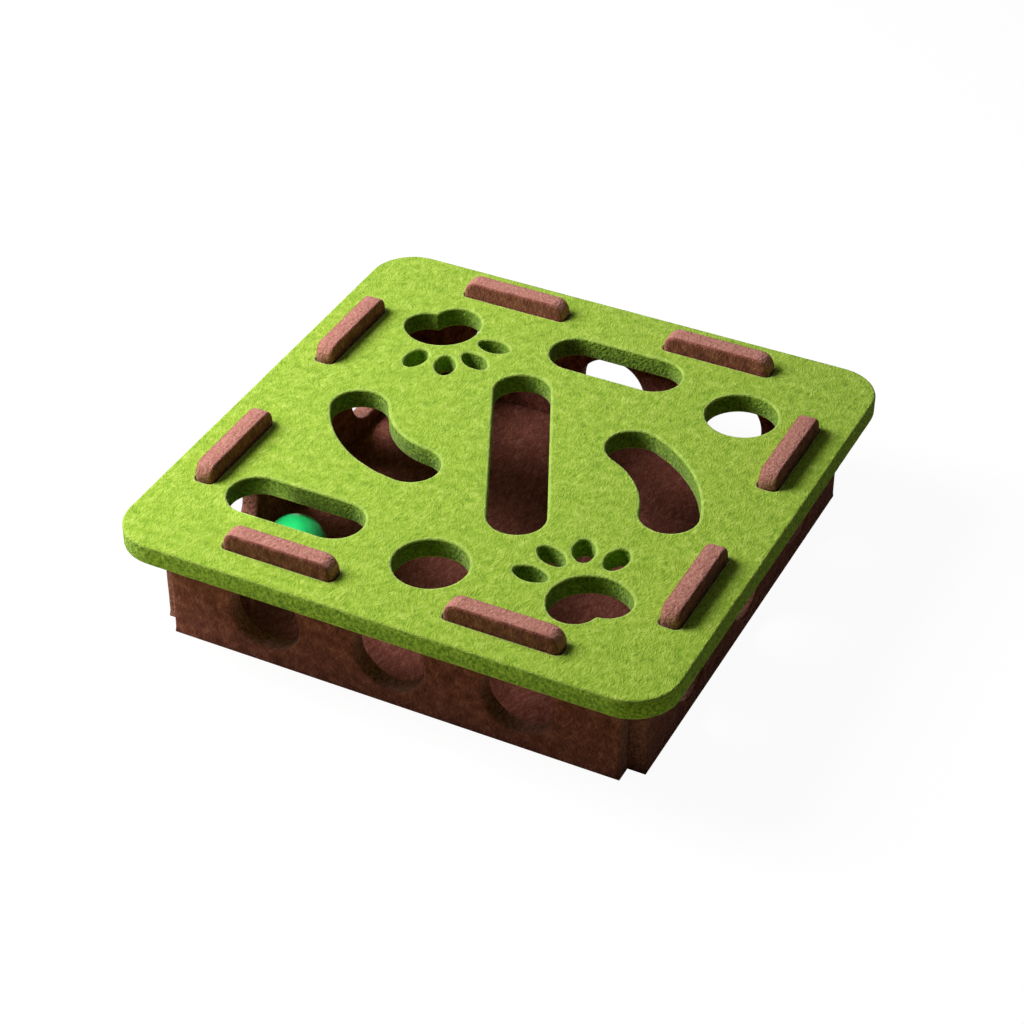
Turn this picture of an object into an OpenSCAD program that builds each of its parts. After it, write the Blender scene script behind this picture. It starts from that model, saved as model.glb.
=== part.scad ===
// Cat maze toy: a flat-pack felt box. Four wall boards stand around a thin floor sheet, and two tabs on
// each wall reach up through slots in the lid, which is cut with play openings. A ball rolls inside.
// Millimetres, +Z up, origin at the centre of the footprint on the surface that the box stands on.

/* [Lid] */
// Side of the square lid
lid_side = 300; // [280:5:360]
// Thickness of the lid board
lid_t = 11.5; // [6:0.5:15]
// Radius of the lid's corners in plan
lid_corner_r = 25; // [5:1:40]
// Overhang of the lid past the outer faces of the walls
lid_overhang = 16.5; // [10:0.5:22]

/* [Walls] */
// Height of a wall from its foot to the underside of the lid
wall_h = 54; // [46:1:80]
// Thickness of a wall board
wall_t = 10.5; // [6:0.5:14]
// Gap between a wall's end and the inner face line of the next wall
corner_clearance = 0.3; // [0.1:0.1:2]
// Diameter of the paw holes in the walls
wall_hole_d = 39; // [25:1:42]
// Distance of the outer paw holes from the wall's ends
wall_hole_inset = 53; // [40:1:60]
// Rise of the paw holes above the wall's mid height
wall_hole_lift = 1.5; // [0:0.5:2]

/* [Tabs] */
// Length of a tab along its wall
tab_l = 62; // [40:1:70]
// Distance of each tab from its end of the wall
tab_inset = 31; // [24:1:40]
// Height of the tabs above the lid
tab_rise = 9; // [4:0.5:14]
// Radius of the tabs' upper corners
tab_corner_r = 7.5; // [2:0.5:12]
// Play between a tab and its slot in the lid, on each side
slot_clearance = 0.3; // [0.1:0.1:1]

/* [Floor sheet] */
// Thickness of the floor sheet
base_t = 2; // [1:0.5:5]
// Gap between the floor sheet and the walls
base_clearance = 0.3; // [0.1:0.1:2]

/* [Lid slots] */
// Width of the straight and curved play slots
play_slot_w = 30; // [24:1:34]
// Length of the two short straight slots, end to end
short_slot_l = 75; // [60:1:80]
// Distance of the back slot's middle from the back wall
back_slot_from_back = 25; // [20:1:28]
// Place of the back slot's middle to the right of the lid's centre
back_slot_x = 13.5; // [5:0.5:20]
// Distance of the front slot's middle from the front wall
front_slot_from_front = 34; // [22:1:38]
// Distance of the front slot's middle from the left wall
front_slot_from_left = 47.5; // [43:0.5:52]
// How much shorter the long slanted slot is than the room between facing walls
long_slot_short = 106.5; // [101:0.5:130]
// Slant of the long slot, from +X
long_slot_angle = -65; // [-75:1:-55]
// Place of the long slot's middle to the right of the lid's centre
long_slot_x = 3; // [-3:0.5:6]
// Place of the long slot's middle behind the lid's centre
long_slot_y = 3.5; // [-3:0.5:6]
// Mid-line radius of the left curved slot
left_bend_r = 59.5; // [54:0.5:64]
// Sweep of the left curved slot's mid-line
left_bend_sweep = 59; // [45:1:62]
// Direction from the left curved slot's middle to its bend centre, from +X
left_bend_angle = 56; // [50:1:62]
// Distance of the left curved slot's middle from the left wall
left_bend_from_left = 53; // [48:0.5:58]
// Place of the left curved slot's middle ahead of the lid's centre
left_bend_y = 21; // [16:0.5:26]
// Mid-line radius of the right curved slot
right_bend_r = 68; // [62:0.5:72]
// Sweep of the right curved slot's mid-line
right_bend_sweep = 51; // [40:1:54]
// Direction from the right curved slot's bend centre to its middle, from +X
right_bend_angle = 41.5; // [36:0.5:47]
// Distance of the right curved slot's middle from the right wall
right_bend_from_right = 44; // [40:0.5:50]
// Place of the right curved slot's middle behind the lid's centre
right_bend_y = 15; // [10:0.5:20]

/* [Lid holes] */
// Diameter of the two round holes
round_hole_d = 38; // [25:1:42]
// Distance of the back round hole from the right wall
back_hole_from_right = 30.5; // [24:0.5:34]
// Distance of the back round hole from the back wall
back_hole_from_back = 39; // [26:1:42]
// Place of the front round hole to the right of the lid's centre
front_hole_x = 6; // [-4:0.5:14]
// Distance of the front round hole from the front wall
front_hole_from_front = 24; // [23:0.5:30]

/* [Paw cut-outs] */
// Radius of the rounded side of the pad
pad_r = 21; // [16:0.5:22]
// Radius of the pad's two lobes
pad_lobe_r = 12.6; // [10:0.1:14]
// Radius that rounds off the notch between the lobes
pad_notch_r = 2; // [0.5:0.5:4]
// Distance of the pad's middle from the side wall
paw_from_side = 34.7; // [30:0.1:37]
// Distance of the pad's middle from the front or back wall
paw_from_end = 30.7; // [27:0.1:34]
// Direction in which the toes point, from +X
paw_angle = 131; // [120:1:140]
// Length of a toe
toe_l = 18; // [12:0.5:19]
// Width of a toe
toe_w = 11; // [8:0.5:12]
// Radius of a toe's ends
toe_end_r = 3.6; // [2:0.1:3.9]
// Distance of the two middle toes from the pad's middle
inner_toe_reach = 41; // [38:0.5:44]
// Distance of the two outer toes from the pad's middle
outer_toe_reach = 36.5; // [34:0.5:40]
// Angle of the middle toes to each side of the paw's axis
inner_toe_spread = 11.5; // [10:0.5:14]
// Angle of the outer toes to each side of the paw's axis
outer_toe_spread = 36.5; // [34:0.5:42]
// Outward lean of each toe past its own direction from the pad
toe_lean = 9.5; // [0:0.5:15]

/* [Ball] */
// Diameter of the ball
ball_d = 32; // [20:1:40]
// Distance of the ball's centre from the left wall
ball_from_left = 30; // [22:0.5:40]
// Distance of the ball's centre from the front wall
ball_from_front = 59.5; // [30:0.5:90]
// Gap left under the ball
ball_clearance = 0.3; // [0.1:0.1:0.5]

/* [Hidden] */
$fn = 96;
// How far a cutter runs past the faces that it cuts
past = 5;
// How far a rounded end stands past the arcs that it closes, so that they cross cleanly
blend = 0.03;
// Half the room between facing walls, and the length of a wall
room = lid_side / 2 - lid_overhang - wall_t;
wall_l = 2 * (room - corner_clearance);
// Middles of a wall's tabs and paw holes along the wall
tab_at = wall_l / 2 - tab_inset - tab_l / 2;
hole_at = wall_l / 2 - wall_hole_inset;
tab_h = lid_t + tab_rise;
// A toe is an oval of four arcs: its end arcs, then the radius, centre and half length of its flatter sides
toe_end = toe_l / 2 - toe_end_r;
toe_side_r = (toe_end * toe_end + toe_w * toe_w / 4 - toe_end_r * toe_end_r) / (toe_w - 2 * toe_end_r);
toe_side_at = toe_side_r - toe_w / 2;
toe_side_l = toe_end * toe_side_r / (toe_side_r - toe_end_r);
// The pad's lobes touch its round side from within, and the notch's round touches both lobes
lobe_at = pad_r - pad_lobe_r;
notch_at = sqrt(pow(pad_lobe_r + pad_notch_r, 2) - pow(lobe_at, 2));

GREEN = [0.60, 0.76, 0.24];
BROWN = [0.45, 0.24, 0.20];
BALL_GREEN = [0.10, 0.70, 0.36];

// Rectangle standing on the X axis with its two upper corners rounded
module tab_outline() {
    translate([-tab_l / 2, 0])
        square([tab_l, tab_h - tab_corner_r]);
    translate([tab_corner_r - tab_l / 2, 0])
        square([tab_l - 2 * tab_corner_r, tab_h]);
    for (side = [-1, 1])
        translate([side * (tab_l / 2 - tab_corner_r), tab_h - tab_corner_r])
            circle(tab_corner_r);
}

// Face of a wall board, with its foot on the X axis
module wall_outline() {
    difference() {
        union() {
            translate([-wall_l / 2, 0])
                square([wall_l, wall_h]);
            for (side = [-1, 1])
                translate([side * tab_at, wall_h])
                    tab_outline();
        }
        for (step = [-1:1])
            translate([step * hole_at, wall_h / 2 + wall_hole_lift])
                circle(d = wall_hole_d);
    }
}

// One wall board in the front's place, turned about the box's middle to its own side
module wall(turn) {
    color(BROWN)
        rotate(turn)
            translate([0, -room, 0])
                rotate([90, 0, 0])
                    linear_extrude(wall_t)
                        wall_outline();
}

module front_wall() {
    wall(0);
}

module right_wall() {
    wall(90);
}

module back_wall() {
    wall(180);
}

module left_wall() {
    wall(270);
}

module base_sheet() {
    half = room - base_clearance;
    color(BROWN)
        translate([-half, -half, 0])
            cube([2 * half, 2 * half, base_t]);
}

// Plan of the lid board
module lid_outline() {
    straight = lid_side - 2 * lid_corner_r;
    square([lid_side, straight], center = true);
    square([straight, lid_side], center = true);
    for (x = [-1, 1], y = [-1, 1])
        translate([x * straight / 2, y * straight / 2])
            circle(lid_corner_r);
}

// Slots that take the tabs of all four walls
module tab_slots() {
    slot = [tab_l + 2 * slot_clearance, wall_t + 2 * slot_clearance];
    for (turn = [0:90:270], side = [-1, 1])
        rotate(turn)
            translate([side * tab_at, -room - wall_t / 2])
                square(slot, center = true);
}

// Straight slot with round ends along X
module straight_slot(length) {
    run = length - play_slot_w;
    square([run, play_slot_w], center = true);
    for (side = [-1, 1])
        translate([side * run / 2, 0])
            circle(d = play_slot_w);
}

// Curved slot whose middle is at the origin and whose bend centre lies on -X
module curved_slot(bend_r, sweep) {
    reach = bend_r + play_slot_w;
    half = sweep / 2;
    translate([-bend_r, 0]) {
        intersection() {
            difference() {
                circle(bend_r + play_slot_w / 2);
                circle(bend_r - play_slot_w / 2);
            }
            polygon([[0, 0], reach / cos(half) * [cos(half), sin(half)],
                     reach / cos(half) * [cos(half), -sin(half)]]);
        }
        for (side = [-1, 1])
            rotate(side * half)
                translate([bend_r, 0])
                    circle(play_slot_w / 2 + blend);
    }
}

// Oval of four arcs, longer along X
module toe() {
    intersection() {
        square([2 * toe_side_l, 2 * toe_w], center = true);
        translate([0, toe_side_at])
            circle(toe_side_r);
        translate([0, -toe_side_at])
            circle(toe_side_r);
    }
    for (side = [-1, 1])
        translate([side * toe_end, 0])
            circle(toe_end_r + blend);
}

// Heart-shaped pad with its round side towards +X
module pad() {
    difference() {
        union() {
            intersection() {
                circle(pad_r);
                translate([0, -pad_r])
                    square([pad_r, 2 * pad_r]);
            }
            for (side = [-1, 1])
                translate([0, side * lobe_at])
                    circle(pad_lobe_r);
            polygon([[0, lobe_at], [0, -lobe_at], [-notch_at, 0]]);
        }
        translate([-notch_at, 0])
            circle(pad_notch_r);
    }
}

// Pad and four toes around the pad's middle, with the toes towards +X
module paw() {
    pad();
    for (side = [-1, 1]) {
        rotate(side * inner_toe_spread)
            translate([inner_toe_reach, 0])
                rotate(side * toe_lean)
                    toe();
        rotate(side * outer_toe_spread)
            translate([outer_toe_reach, 0])
                rotate(side * toe_lean)
                    toe();
    }
}

// All the openings that a cat plays through
module play_openings() {
    translate([back_slot_x, room - back_slot_from_back])
        straight_slot(short_slot_l);
    translate([front_slot_from_left - room, front_slot_from_front - room])
        straight_slot(short_slot_l);
    translate([long_slot_x, long_slot_y])
        rotate(long_slot_angle)
            straight_slot(2 * room - long_slot_short);
    translate([left_bend_from_left - room, -left_bend_y])
        rotate(180 + left_bend_angle)
            curved_slot(left_bend_r, left_bend_sweep);
    translate([room - right_bend_from_right, right_bend_y])
        rotate(right_bend_angle)
            curved_slot(right_bend_r, right_bend_sweep);
    translate([room - back_hole_from_right, room - back_hole_from_back])
        circle(d = round_hole_d);
    translate([front_hole_x, front_hole_from_front - room])
        circle(d = round_hole_d);
    for (turn = [0, 180])
        rotate(turn)
            translate([room - paw_from_side, paw_from_end - room])
                rotate(paw_angle)
                    paw();
}

module lid() {
    color(GREEN)
        difference() {
            translate([0, 0, wall_h])
                linear_extrude(lid_t)
                    lid_outline();
            translate([0, 0, wall_h - past])
                linear_extrude(lid_t + 2 * past) {
                    tab_slots();
                    play_openings();
                }
        }
}

module ball() {
    color(BALL_GREEN)
        translate([ball_from_left - room, ball_from_front - room, base_t + ball_clearance + ball_d / 2])
            sphere(d = ball_d);
}

base_sheet();
front_wall();
right_wall();
back_wall();
left_wall();
lid();
ball();
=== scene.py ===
import math

import bmesh
import bpy
from mathutils import Matrix, Vector, noise


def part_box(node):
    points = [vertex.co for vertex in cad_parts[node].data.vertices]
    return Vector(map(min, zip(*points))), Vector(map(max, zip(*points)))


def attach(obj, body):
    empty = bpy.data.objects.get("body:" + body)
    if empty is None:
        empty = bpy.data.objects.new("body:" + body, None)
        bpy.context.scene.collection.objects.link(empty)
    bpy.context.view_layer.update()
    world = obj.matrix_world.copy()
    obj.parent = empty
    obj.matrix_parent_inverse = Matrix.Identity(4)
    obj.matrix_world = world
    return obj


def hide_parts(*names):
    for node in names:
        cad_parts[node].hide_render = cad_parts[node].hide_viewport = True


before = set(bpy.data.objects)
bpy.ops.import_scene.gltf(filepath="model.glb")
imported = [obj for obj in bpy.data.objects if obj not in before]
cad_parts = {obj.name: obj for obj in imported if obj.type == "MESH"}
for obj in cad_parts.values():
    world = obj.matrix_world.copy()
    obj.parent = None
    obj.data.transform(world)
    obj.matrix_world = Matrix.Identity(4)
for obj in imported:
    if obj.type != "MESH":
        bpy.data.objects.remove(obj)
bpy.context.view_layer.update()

# Floor sheet
# A thin square of brown needle felt that lies loose between the walls and closes the box below. It is cut
# from a roll with a straight blade, so its rim is nearly square, and it lies flat under its own weight.
MM = 1000  # millimetres in a metre
SHARP_CORNER = math.radians(70)
SHEET_CUTS = 63
SHEET_RIM = 0.0005
SHEET_HEATHER = 0.2
BROWN_TONES = ("#5C2D23", "#8D4D3F", "#B87564")
BROWN_CUT = ("#7C4A3E", "#B98072")
# rim tone: a painted edge highlight, partly fray
BROWN_RIM = "#B98677"
BROWN_SHEEN = "#E8C4BA"


def linear(code):
    """Linear colour of an sRGB hex value."""
    parts = [int(code[i:i + 2], 16) / 255 for i in (1, 3, 5)]
    return [*(p / 12.92 if p <= 0.04045 else ((p + 0.055) / 1.055) ** 2.4 for p in parts), 1.0]


def add_node(tree, kind, links=(), **settings):
    """A shader node: settings are its own properties, and links maps an input to a value or an output."""
    made = tree.nodes.new(kind)
    for key, value in settings.items():
        setattr(made, key, value)
    for key, value in dict(links).items():
        if isinstance(value, bpy.types.NodeSocket):
            tree.links.new(value, made.inputs[key])
        else:
            made.inputs[key].default_value = value
    return made


def needle_felt(name, lie, middle, half, tones, cut_tones, rim_tone, sheen_tone, heather, painted_light=None):
    """Needle-punched polyester felt board: short crimped fibres lie every way on the broad faces, and the
    blade shows the tufts end on, so a cut side is softly mottled. lie turns object axes to length, height
    and thickness, middle and half place the thickness in mm, heather is how far light and dark fibre stay
    apart, and the last argument gives the axes and the level in mm past which a cut side is painted paler,
    and its tones there: a painted highlight on the lit tab crowns, and on the lid its outer side against the
    painted shade in its openings."""
    material = bpy.data.materials.new(name)
    material.use_nodes = True
    tree = material.node_tree
    shader = tree.nodes["Principled BSDF"]
    place = add_node(tree, "ShaderNodeTexCoord").outputs["Object"]
    mm = add_node(tree, "ShaderNodeMapping", {"Vector": place, "Scale": (MM, MM, MM),
                                              "Rotation": lie.to_euler("XYZ")}).outputs["Vector"]

    # depth in mm under the nearer broad face parts the faces, the softened rims and the cut sides
    cut_from, cut_full = 0.5, 1.4
    rim_from, rim_full = 0.03, 0.35
    rim_fade, rim_end = 0.7, 1.7
    parts = add_node(tree, "ShaderNodeSeparateXYZ", {"Vector": mm}).outputs
    off = add_node(tree, "ShaderNodeMath", {0: parts["Z"], 1: middle}, operation="SUBTRACT").outputs[0]
    out = add_node(tree, "ShaderNodeMath", {0: off}, operation="ABSOLUTE").outputs[0]
    depth = add_node(tree, "ShaderNodeMath", {0: half, 1: out}, operation="SUBTRACT").outputs[0]
    cut = add_node(tree, "ShaderNodeMapRange", {"Value": depth, "From Min": cut_from, "From Max": cut_full},
                   interpolation_type="SMOOTHSTEP").outputs["Result"]
    rise = add_node(tree, "ShaderNodeMapRange", {"Value": depth, "From Min": rim_from, "From Max": rim_full},
                    interpolation_type="SMOOTHSTEP").outputs["Result"]
    fall = add_node(tree, "ShaderNodeMapRange", {"Value": depth, "From Min": rim_fade, "From Max": rim_end,
                                                 "To Min": 1.0, "To Max": 0.0},
                    interpolation_type="SMOOTHSTEP").outputs["Result"]
    rim = add_node(tree, "ShaderNodeMath", {0: rise, 1: fall}, operation="MULTIPLY").outputs[0]

    # fibres: most streaks lie near the way the web was drawn, and they curl over; a real fibre is 0.03 mm
    # wide, so these stand for the tufts that it lies in
    fibre_long, fibre_wide = 4, 0.8
    curl_long, curl_reach = 14, 9
    drawn_ways = (-55, -90, -125)
    curl = add_node(tree, "ShaderNodeTexNoise", {"Vector": mm, "Scale": 1 / curl_long,
                                                 "Detail": 1.0}).outputs["Color"]
    bent = add_node(tree, "ShaderNodeVectorMath", {0: curl, 1: (curl_reach, curl_reach, 0), 2: mm},
                    operation="MULTIPLY_ADD").outputs["Vector"]
    tufts = 0.0
    for turn in drawn_ways:
        laid = add_node(tree, "ShaderNodeMapping", {"Vector": bent, "Rotation": (0, 0, math.radians(turn))})
        drawn = add_node(tree, "ShaderNodeMapping", {
            "Vector": laid.outputs["Vector"], "Scale": (1 / fibre_long, 1 / fibre_wide, 1 / fibre_wide)})
        streak = add_node(tree, "ShaderNodeTexNoise", {"Vector": drawn.outputs["Vector"], "Scale": 1.0,
                                                       "Detail": 2.0, "Roughness": 0.5}).outputs["Fac"]
        tufts = add_node(tree, "ShaderNodeMath", {0: streak, 1: 1 / len(drawn_ways), 2: tufts},
                         operation="MULTIPLY_ADD").outputs[0]

    # spots are tufts end on at a cut side, clouds are uneven blending of light and dark fibre, and grain is
    # the nap, drawn coarser than real so that it shows
    spot_wide, cloud_wide, grain_wide = 1.6, 6, 0.5
    spots = add_node(tree, "ShaderNodeTexNoise", {"Vector": mm, "Scale": 1 / spot_wide, "Detail": 2.0,
                                                  "Roughness": 0.6}).outputs["Fac"]
    clouds = add_node(tree, "ShaderNodeTexNoise", {"Vector": mm, "Scale": 1 / cloud_wide, "Detail": 3.0,
                                                   "Roughness": 0.6}).outputs["Fac"]
    grain = add_node(tree, "ShaderNodeTexNoise", {"Vector": mm, "Scale": 1 / grain_wide,
                                                  "Detail": 2.0}).outputs["Fac"]

    # broad faces run from dark to light fibre, cut sides from dark to light spots
    face_stops, cut_stops = (0.32, 0.50, 0.68), (0.32, 0.70)
    blend = add_node(tree, "ShaderNodeMath", {0: clouds, 1: 0.5}, operation="SUBTRACT").outputs[0]
    lean = add_node(tree, "ShaderNodeMath", {0: blend, 1: heather, 2: tufts},
                    operation="MULTIPLY_ADD").outputs[0]
    face = add_node(tree, "ShaderNodeValToRGB", {"Fac": lean})
    face.color_ramp.elements.new(face_stops[1])
    for stop, position, tone in zip(face.color_ramp.elements, face_stops, tones):
        stop.position = position
        stop.color = linear(tone)
    pairs = [cut_tones]
    if painted_light:
        axes, level, paler_tones = painted_light
        pairs.append(paler_tones)
    mottled = []
    for pair in pairs:
        mottle = add_node(tree, "ShaderNodeValToRGB", {"Fac": spots})
        for stop, position, tone in zip(mottle.color_ramp.elements, cut_stops, pair):
            stop.position = position
            stop.color = linear(tone)
        mottled.append(mottle.outputs["Color"])
    side = mottled[0]
    # cut sides past the level are painted paler: a painted highlight on the lit tab crowns, and on the lid
    # the paler outer side, against which the openings' darker cut sides are painted shade
    if painted_light:
        paler_fade = 5
        reach = None
        for axis in axes:
            away = add_node(tree, "ShaderNodeMath", {0: parts[axis]}, operation="ABSOLUTE").outputs[0]
            reach = away if reach is None else add_node(
                tree, "ShaderNodeMath", {0: reach, 1: away}, operation="MAXIMUM").outputs[0]
        painted_paler = add_node(tree, "ShaderNodeMapRange", {"Value": reach, "From Min": level,
                                                     "From Max": level + paler_fade},
                        interpolation_type="SMOOTHSTEP").outputs["Result"]
        side = add_node(tree, "ShaderNodeMix", {"Factor": painted_paler, 6: mottled[0], 7: mottled[1]},
                        data_type="RGBA").outputs[2]
    body = add_node(tree, "ShaderNodeMix", {"Factor": cut, 6: face.outputs["Color"], 7: side},
                    data_type="RGBA").outputs[2]

    # every rim is painted a little paler, and the rims of the play openings more so: a painted edge
    # highlight, partly real fray; an attribute on the board marks the openings' rims
    rim_highlight = 0.3
    opening_rims = add_node(tree, "ShaderNodeAttribute", attribute_name="fray_highlight").outputs["Fac"]
    pale_rim = add_node(tree, "ShaderNodeMath", {0: rim, 1: rim_highlight}, operation="MULTIPLY").outputs[0]
    pale_rim = add_node(tree, "ShaderNodeMath", {0: pale_rim, 1: opening_rims}, operation="MAXIMUM").outputs[0]
    fray_highlight = add_node(tree, "ShaderNodeMath", {0: pale_rim, 1: grain}, operation="MULTIPLY").outputs[0]
    colour = add_node(tree, "ShaderNodeMix", {"Factor": fray_highlight, 6: body, 7: linear(rim_tone)},
                      data_type="RGBA").outputs[2]
    tree.links.new(colour, shader.inputs["Base Color"])

    # fibre and spots stand up to about 1 mm, and the grain and the clouds lie on them; where many fibres lie
    # side by side they shine a little more
    nap, grain_share, cloud_share = 0.0011, 0.2, 0.5
    relief = add_node(tree, "ShaderNodeMix", {"Factor": cut, 2: tufts, 3: spots},
                      data_type="FLOAT").outputs[0]
    height = add_node(tree, "ShaderNodeMath", {0: grain, 1: grain_share, 2: relief},
                      operation="MULTIPLY_ADD").outputs[0]
    height = add_node(tree, "ShaderNodeMath", {0: clouds, 1: cloud_share, 2: height},
                      operation="MULTIPLY_ADD").outputs[0]
    bump = add_node(tree, "ShaderNodeBump", {"Height": height, "Strength": 1.0, "Distance": nap})
    tree.links.new(bump.outputs["Normal"], shader.inputs["Normal"])
    rough = add_node(tree, "ShaderNodeMapRange", {"Value": tufts, "From Min": 0.35, "From Max": 0.65,
                                                  "To Min": 1.0, "To Max": 0.86}).outputs["Result"]
    tree.links.new(rough, shader.inputs["Roughness"])
    shader.inputs["Specular IOR Level"].default_value = 0.06
    shader.inputs["Sheen Weight"].default_value = 0.25
    shader.inputs["Sheen Roughness"].default_value = 0.55
    shader.inputs["Sheen Tint"].default_value = linear(sheen_tone)
    return material


def select_edges(piece, wanted):
    """Selects, in edit mode, the edges of a piece that wanted says yes to, and no others."""
    bpy.ops.mesh.select_all(action="DESELECT")
    mesh = bmesh.from_edit_mesh(piece.data)
    mesh.normal_update()
    for edge in mesh.edges:
        if wanted(edge):
            edge.select_set(True)
    bmesh.update_edit_mesh(piece.data)


low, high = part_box("base_sheet")
bpy.ops.object.select_all(action="DESELECT")
bpy.ops.mesh.primitive_plane_add(size=high.x - low.x, location=(0, 0, 0))
sheet = bpy.context.object
sheet.name = "floor_sheet"
bpy.ops.object.mode_set(mode="EDIT")
bpy.ops.mesh.subdivide(number_cuts=SHEET_CUTS)
bpy.ops.mesh.extrude_region_move(TRANSFORM_OT_translate={"value": (0, 0, high.z)})
bpy.ops.mesh.select_all(action="SELECT")
bpy.ops.mesh.normals_make_consistent(inside=False)
select_edges(sheet, lambda edge: edge.calc_face_angle(0.0) > SHARP_CORNER)
bpy.ops.mesh.bevel(offset=SHEET_RIM, segments=2, affect="EDGES")
bpy.ops.object.mode_set(mode="OBJECT")
bpy.ops.object.shade_smooth_by_angle(angle=math.radians(40))
sheet.data.materials.append(needle_felt("brown_felt_sheet", Matrix.Identity(3), high.z * MM / 2,
                                        high.z * MM / 2, BROWN_TONES, BROWN_CUT, BROWN_RIM, BROWN_SHEEN,
                                        SHEET_HEATHER))
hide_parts("base_sheet")
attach(sheet, "base")

# Wall boards
# Four like boards of brown needle felt, die cut with three paw holes and two tabs. The tabs push up through
# the lid's slots and hold by friction alone. The die leaves the cut rims a little soft and uneven.
RIM_STEP = 0.0032
WALL_RIM = 0.0014
FOOT_RIM = 0.0004
TAB_END = 0.0029
CORNER_PRESS = 0.0012
UNEVEN = 0.00025
UNEVEN_STEP = 0.009
TOUCHING = 0.00001
SLOT_MARGIN = 0.001
WALL_HEATHER = 0.55
# tab crowns above the lid are painted paler: a painted highlight where the key lamps fall on them
TAB_CROWN_HIGHLIGHT = ("#B87466", "#DB9C8D")

# rows of a rolled rim: each one's way in and its lift as shares of the radius, and how much of the pale rim
# it takes, a painted edge highlight and partly fray
ROLL = ((0, -1, 0), (0.134, 0.5, 0), (0.366, 0.366, 0.3), (0.5, 0.129, 0.8), (0.4, 0.005, 0))


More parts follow.
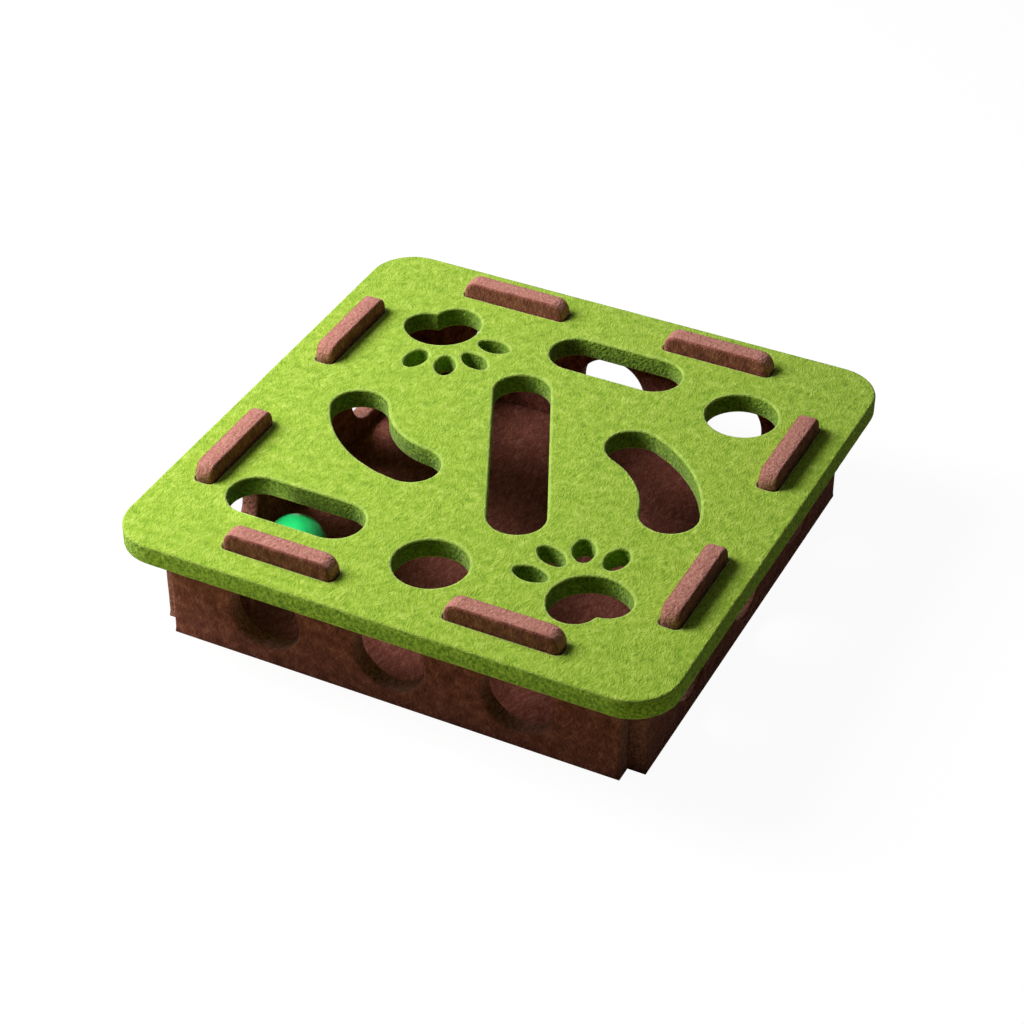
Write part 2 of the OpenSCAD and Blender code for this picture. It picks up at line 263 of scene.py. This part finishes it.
def soft_board(name, node, thin, soft, press=0.0, tab_soft=0.0, slot_round=0.0, fray_highlight_within=0.0):
    """A copy of a packed board whose cut rims are rounded over by the radius soft; thin is its thickness
    axis, press is how far its two ends are drawn out to meet the boards beside it, tab_soft is the rounding
    at the ends of its tabs, slot_round is the rounding of its tab slots' corners, and the rims of openings
    nearer the middle than the last argument are marked for the pale rim, a painted edge highlight and
    partly fray."""
    bpy.ops.object.select_all(action="DESELECT")
    board = bpy.data.objects.new(name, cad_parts[node].data.copy())
    bpy.context.collection.objects.link(board)
    board.data.materials.clear()
    bpy.context.view_layer.objects.active = board
    board.select_set(True)
    low, high = (corner[thin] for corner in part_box(node))
    along = 1 - thin
    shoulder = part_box("lid")[0].z
    slot_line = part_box("right_wall")[0].x - SLOT_MARGIN
    bpy.ops.mesh.customdata_custom_splitnormals_clear()
    bpy.ops.object.mode_set(mode="EDIT")
    bpy.ops.mesh.select_all(action="SELECT")
    bpy.ops.mesh.remove_doubles(threshold=TOUCHING)
    bpy.ops.mesh.select_mode(type="VERT")
    for end in (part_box(node) if press else ()):
        bpy.ops.mesh.select_all(action="DESELECT")
        mesh = bmesh.from_edit_mesh(board.data)
        for vert in mesh.verts:
            vert.select_set(abs(vert.co[along] - end[along]) < TOUCHING)
        bmesh.update_edit_mesh(board.data)
        shift = [0.0, 0.0, 0.0]
        shift[along] = math.copysign(press, end[along])
        bpy.ops.transform.translate(value=shift)

    # the broad faces, which look along the thickness, go, and the band of cut sides is left
    bpy.ops.mesh.select_mode(type="FACE")
    bpy.ops.mesh.select_all(action="DESELECT")
    mesh = bmesh.from_edit_mesh(board.data)
    for face in mesh.faces:
        face.select_set(abs(face.normal[thin]) > 0.9)
    bmesh.update_edit_mesh(board.data)
    bpy.ops.mesh.delete(type="FACE")
    bpy.ops.mesh.select_all(action="SELECT")
    bpy.ops.mesh.dissolve_limited(angle_limit=math.radians(0.5))
    bpy.ops.mesh.select_mode(type="EDGE")
    if slot_round:
        select_edges(board, lambda edge: edge.calc_face_angle(0.0) > SHARP_CORNER
                     and max(abs(c) for c in edge.verts[0].co.xy) > slot_line)
        bpy.ops.mesh.bevel(offset=slot_round, segments=4, affect="EDGES")

    # the straight rims of the band are cut to even steps, longest first; a step is longer than the rounding
    # reaches in, so that nothing folds over at the square corners
    rims = [edge for edge in bmesh.from_edit_mesh(board.data).edges if edge.is_boundary]
    for steps in sorted({round(edge.calc_length() / RIM_STEP) for edge in rims}, reverse=True):
        if steps > 1:
            select_edges(board, lambda edge: edge.is_boundary
                         and round(edge.calc_length() / RIM_STEP) == steps)
            bpy.ops.mesh.subdivide(number_cuts=steps - 1)

    # each point of a rim gets its way in over the broad face and its radius, which grows towards the tabs'
    # ends and is small at the foot, and the die's uneven cut draws it in a little, except where it stands on
    # the floor or holds a tab
    mesh = bmesh.from_edit_mesh(board.data)
    way = mesh.verts.layers.float_vector.new("way_in")
    radius = mesh.verts.layers.float.new("radius")
    mesh.verts.layers.float.new("fray_highlight")
    for vert in mesh.verts:
        one, other = (edge.link_faces[0].normal for edge in vert.link_edges if edge.is_boundary)
        out = (one + other) / (1 + one.dot(other))
        vert[radius] = soft if vert.co.z > 0 else FOOT_RIM
        if tab_soft and vert.co.z > shoulder + RIM_STEP / 2:
            vert[radius] += (tab_soft - soft) * out.normalized()[along] ** 2
        vert[way] = -out * vert[radius]
        holds_tab = slot_round and slot_line < max(abs(c) for c in vert.co.xy) < fray_highlight_within
        if vert.co.z > 0 and not holds_tab:
            vert.co -= out * UNEVEN * (1 + noise.noise(vert.co / UNEVEN_STEP)) / 2

    # each rim is drawn back by its radius, rolled over in three steps to the broad face, led on a little way
    # over it and filled
    for level, up in ((high, 1), (low, -1)):
        select_edges(board, lambda edge: edge.is_boundary
                     and all(abs(vert.co[thin] - level) < TOUCHING for vert in edge.verts))
        # each row also takes its share of the pale rim: a painted edge highlight, partly fray
        for inward, lift, pale_share in ROLL:
            if inward:
                bpy.ops.mesh.extrude_edges_move(TRANSFORM_OT_translate={"value": (0, 0, 0)})
            mesh = bmesh.from_edit_mesh(board.data)
            way = mesh.verts.layers.float_vector["way_in"]
            radius = mesh.verts.layers.float["radius"]
            fray_highlight = mesh.verts.layers.float["fray_highlight"]
            for vert in mesh.verts:
                if vert.select:
                    vert.co += vert[way] * inward
                    vert.co[thin] += up * lift * vert[radius]
                    vert[fray_highlight] = pale_share if max(abs(c) for c in vert.co.xy) < fray_highlight_within else 0.0
            bmesh.update_edit_mesh(board.data)
        bpy.ops.mesh.fill(use_beauty=True)
    bpy.ops.mesh.select_all(action="SELECT")
    bpy.ops.mesh.normals_make_consistent(inside=False)
    bpy.ops.object.mode_set(mode="OBJECT")
    for used in ("way_in", "radius"):
        board.data.attributes.remove(board.data.attributes[used])
    bpy.ops.object.shade_smooth_by_angle(angle=math.radians(50))
    return board


low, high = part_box("front_wall")
wall_middle = -(low.y + high.y) * MM / 2
wall_half = (high.y - low.y) * MM / 2
lid_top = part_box("lid")[1].z * MM
for side, turn, thin in (("front", 0, 1), ("right", 90, 0), ("back", 180, 1), ("left", 270, 0)):
    wall = soft_board(side + "_wall_board", side + "_wall", thin, WALL_RIM, CORNER_PRESS, TAB_END)
    lie = Matrix.Rotation(math.radians(-90), 3, "X") @ Matrix.Rotation(math.radians(-turn), 3, "Z")
    # the tab crowns above the lid's top take the painted highlight
    wall.data.materials.append(needle_felt("brown_felt_" + side, lie, wall_middle, wall_half, BROWN_TONES,
                                           BROWN_CUT, BROWN_RIM, BROWN_SHEEN, WALL_HEATHER,
                                           ("Y", lid_top, TAB_CROWN_HIGHLIGHT)))
    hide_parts(side + "_wall")
    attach(wall, side + "_wall")

# Lid board
# One square board of green needle felt with rounded corners, die cut in one stroke with its tab slots, play
# slots, round holes and two paw shapes. It rests on the walls and is held down by the tabs in its slots.
LID_RIM = 0.0012
LID_MARGIN = 0.01
LID_TONES = ("#77A322", "#A9CE3C", "#D2EC6A")
# the cut sides in the openings and tab slots are darker than the outer side: painted shade in the recesses
LID_SHADED_CUT = ("#558210", "#A0C63C")
# pale rim tone: a painted edge highlight, partly fray
LID_FRAY_HIGHLIGHT = "#D2E78F"
LID_SHEEN = "#EEF6CC"
LID_HEATHER = 0.4
# the lid's outer side keeps the paler tones, so the openings' cut sides stand darker as painted shade
LID_OUTER_SIDE = ("XY", 136, ("#679D13", "#C8F14C"))

low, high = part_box("lid")
lid = soft_board("lid_board", "lid", 2, LID_RIM, slot_round=TAB_END, fray_highlight_within=high.x - LID_MARGIN)
lid.data.materials.append(needle_felt("green_felt_lid", Matrix.Identity(3), (low.z + high.z) * MM / 2,
                                      (high.z - low.z) * MM / 2, LID_TONES, LID_SHADED_CUT, LID_FRAY_HIGHLIGHT, LID_SHEEN,
                                      LID_HEATHER, LID_OUTER_SIDE))
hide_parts("lid")
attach(lid, "lid")

# Ball
# A hollow moulded ball of green plastic, loose on the floor sheet. Two half shells are welded at the equator,
# which leaves a fine raised line, and the mould gives it a smooth satin skin.
WELD_SIDE = 0.0003
WELD_RISE = 0.00012
BALL_TURN = (math.radians(35), math.radians(-20), 0)
BALL_TONES = ("#1FC468", "#2CD478")


def on_weld(edge):
    """Says whether an edge of the ball lies on its equator."""
    return all(abs(vert.co.z) < TOUCHING for vert in edge.verts)


low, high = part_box("ball")
ball_r = (high.x - low.x) / 2
bpy.ops.object.select_all(action="DESELECT")
bpy.ops.mesh.primitive_uv_sphere_add(segments=96, ring_count=64, radius=ball_r, location=(low + high) / 2,
                                     rotation=BALL_TURN)
ball = bpy.context.object
ball.name = "rolling_ball"
bpy.ops.object.mode_set(mode="EDIT")
bpy.ops.mesh.select_mode(type="EDGE")
select_edges(ball, on_weld)
bpy.ops.mesh.bevel(offset=WELD_SIDE, segments=2, affect="EDGES")
select_edges(ball, on_weld)
bead = 1 + WELD_RISE / ball_r
bpy.ops.transform.resize(value=(bead, bead, bead), center_override=ball.location)
bpy.ops.object.mode_set(mode="OBJECT")
bpy.ops.object.transform_apply(location=True, rotation=True, scale=True)
bpy.ops.object.shade_smooth()

# moulded polypropylene: an even green, a little cloudy where the melt flowed, with a satin gloss that fine
# pits break up; real pits are under 0.1 mm, so these are drawn coarser
flow_wide, pit_wide = 12, 0.6
plastic = bpy.data.materials.new("green_moulded_plastic")
plastic.use_nodes = True
tree = plastic.node_tree
shader = tree.nodes["Principled BSDF"]
place = add_node(tree, "ShaderNodeTexCoord").outputs["Object"]
flow = add_node(tree, "ShaderNodeTexNoise", {"Vector": place, "Scale": MM / flow_wide,
                                             "Detail": 2.0}).outputs["Fac"]
skin = add_node(tree, "ShaderNodeValToRGB", {"Fac": flow})
for stop, position, tone in zip(skin.color_ramp.elements, (0.35, 0.65), BALL_TONES):
    stop.position = position
    stop.color = linear(tone)
tree.links.new(skin.outputs["Color"], shader.inputs["Base Color"])
pits = add_node(tree, "ShaderNodeTexNoise", {"Vector": place, "Scale": MM / pit_wide,
                                             "Detail": 2.0}).outputs["Fac"]
rough = add_node(tree, "ShaderNodeMapRange", {"Value": pits, "To Min": 0.28,
                                              "To Max": 0.46}).outputs["Result"]
tree.links.new(rough, shader.inputs["Roughness"])
bump = add_node(tree, "ShaderNodeBump", {"Height": pits, "Strength": 0.15, "Distance": 0.0001})
tree.links.new(bump.outputs["Normal"], shader.inputs["Normal"])
shader.inputs["IOR"].default_value = 1.49
ball.data.materials.append(plastic)
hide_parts("ball")
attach(ball, "ball")

# Stage
# A pale paper floor that stays white to the camera and keeps the shadow, two soft key lamps at the upper
# left, a weak wide lamp overhead and a narrow one on the ball. The camera stands where the photograph's did.
PAPER_BOUNCE = "#C8C4A0"
PAPER_MATT = "#585858"
PAPER_GLOW = 0.95
SKY_TONE = "#FFF3D0"
SKY_STRENGTH = 0.005


def seen_directly(tree):
    """1 where the camera, a mirror or glass looks at the backdrop, and 0 where it only gives light."""
    ray = add_node(tree, "ShaderNodeLightPath").outputs
    direct = add_node(tree, "ShaderNodeMath", {0: ray["Is Camera Ray"], 1: ray["Is Glossy Ray"]},
                      operation="MAXIMUM").outputs[0]
    return add_node(tree, "ShaderNodeMath", {0: direct, 1: ray["Is Transmission Ray"]},
                    operation="MAXIMUM").outputs[0]


bpy.ops.object.select_all(action="DESELECT")
bpy.ops.mesh.primitive_plane_add(size=12, location=(0, 0, 0))
floor = bpy.context.object
floor.name = "studio_floor"
paper = bpy.data.materials.new("pale_paper")
paper.use_nodes = True
tree = paper.node_tree
tree.nodes.remove(tree.nodes["Principled BSDF"])
bounce = add_node(tree, "ShaderNodeBsdfDiffuse", {"Color": linear(PAPER_BOUNCE)}).outputs["BSDF"]
matt = add_node(tree, "ShaderNodeBsdfDiffuse", {"Color": linear(PAPER_MATT)}).outputs["BSDF"]
glow = add_node(tree, "ShaderNodeEmission", {"Color": linear("#FFFFFF"),
                                             "Strength": PAPER_GLOW}).outputs["Emission"]
lit = add_node(tree, "ShaderNodeAddShader", {0: matt, 1: glow}).outputs[0]
shown = add_node(tree, "ShaderNodeMixShader", {0: seen_directly(tree), 1: bounce, 2: lit}).outputs[0]
tree.links.new(shown, tree.nodes["Material Output"].inputs["Surface"])
floor.data.materials.append(paper)

world = bpy.data.worlds.new("studio")
bpy.context.scene.world = world
world.use_nodes = True
tree = world.node_tree
sky = add_node(tree, "ShaderNodeBackground", {"Color": linear(SKY_TONE),
                                              "Strength": SKY_STRENGTH}).outputs[0]
white = add_node(tree, "ShaderNodeBackground", {"Color": linear("#FFFFFF"), "Strength": 1.0}).outputs[0]
shown = add_node(tree, "ShaderNodeMixShader", {0: seen_directly(tree), 1: sky, 2: white}).outputs[0]
tree.links.new(shown, tree.nodes["World Output"].inputs["Surface"])

box_heart = Vector((0, 0, 0.05))
for name, place, wide, power in (("front_key", (-0.74, -0.20, 0.69), 0.6, 7.6),
                                 ("side_key", (-0.70, 0.00, 0.75), 0.6, 5.8),
                                 ("top_lamp", (0, 0, 1.25), 1.2, 0.8)):
    bpy.ops.object.light_add(type="AREA", location=place)
    lamp = bpy.context.object
    lamp.name = name
    lamp.data.shape = "DISK"
    lamp.data.size = wide
    lamp.data.energy = power
    lamp.rotation_euler = (box_heart - lamp.location).to_track_quat("-Z", "Y").to_euler()

# the narrow lamp looks in through the front slot, because the ball stands bright in the shade of the box
low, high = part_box("ball")
ball_crown = (low + high) / 2 + Vector((0.000, -0.003, 0.014))
bpy.ops.object.light_add(type="SPOT", location=ball_crown + Vector((-0.05, -0.56, 0.75)))
lamp = bpy.context.object
lamp.name = "ball_lamp"
lamp.data.energy = 125
lamp.data.spot_size = math.radians(1.15)
lamp.data.spot_blend = 1.0
lamp.data.shadow_soft_size = 0.01
lamp.rotation_euler = (ball_crown - lamp.location).to_track_quat("-Z", "Y").to_euler()

bpy.ops.object.camera_add(location=(0.485913, -0.969627, 0.846181),
                          rotation=(math.radians(52.96), 0, math.radians(26.60)))
camera = bpy.context.object
camera.data.sensor_width = 36
camera.data.lens = 91.726
camera.data.clip_start = 0.01
bpy.context.scene.camera = camera
bpy.context.scene.view_settings.view_transform = "Standard"
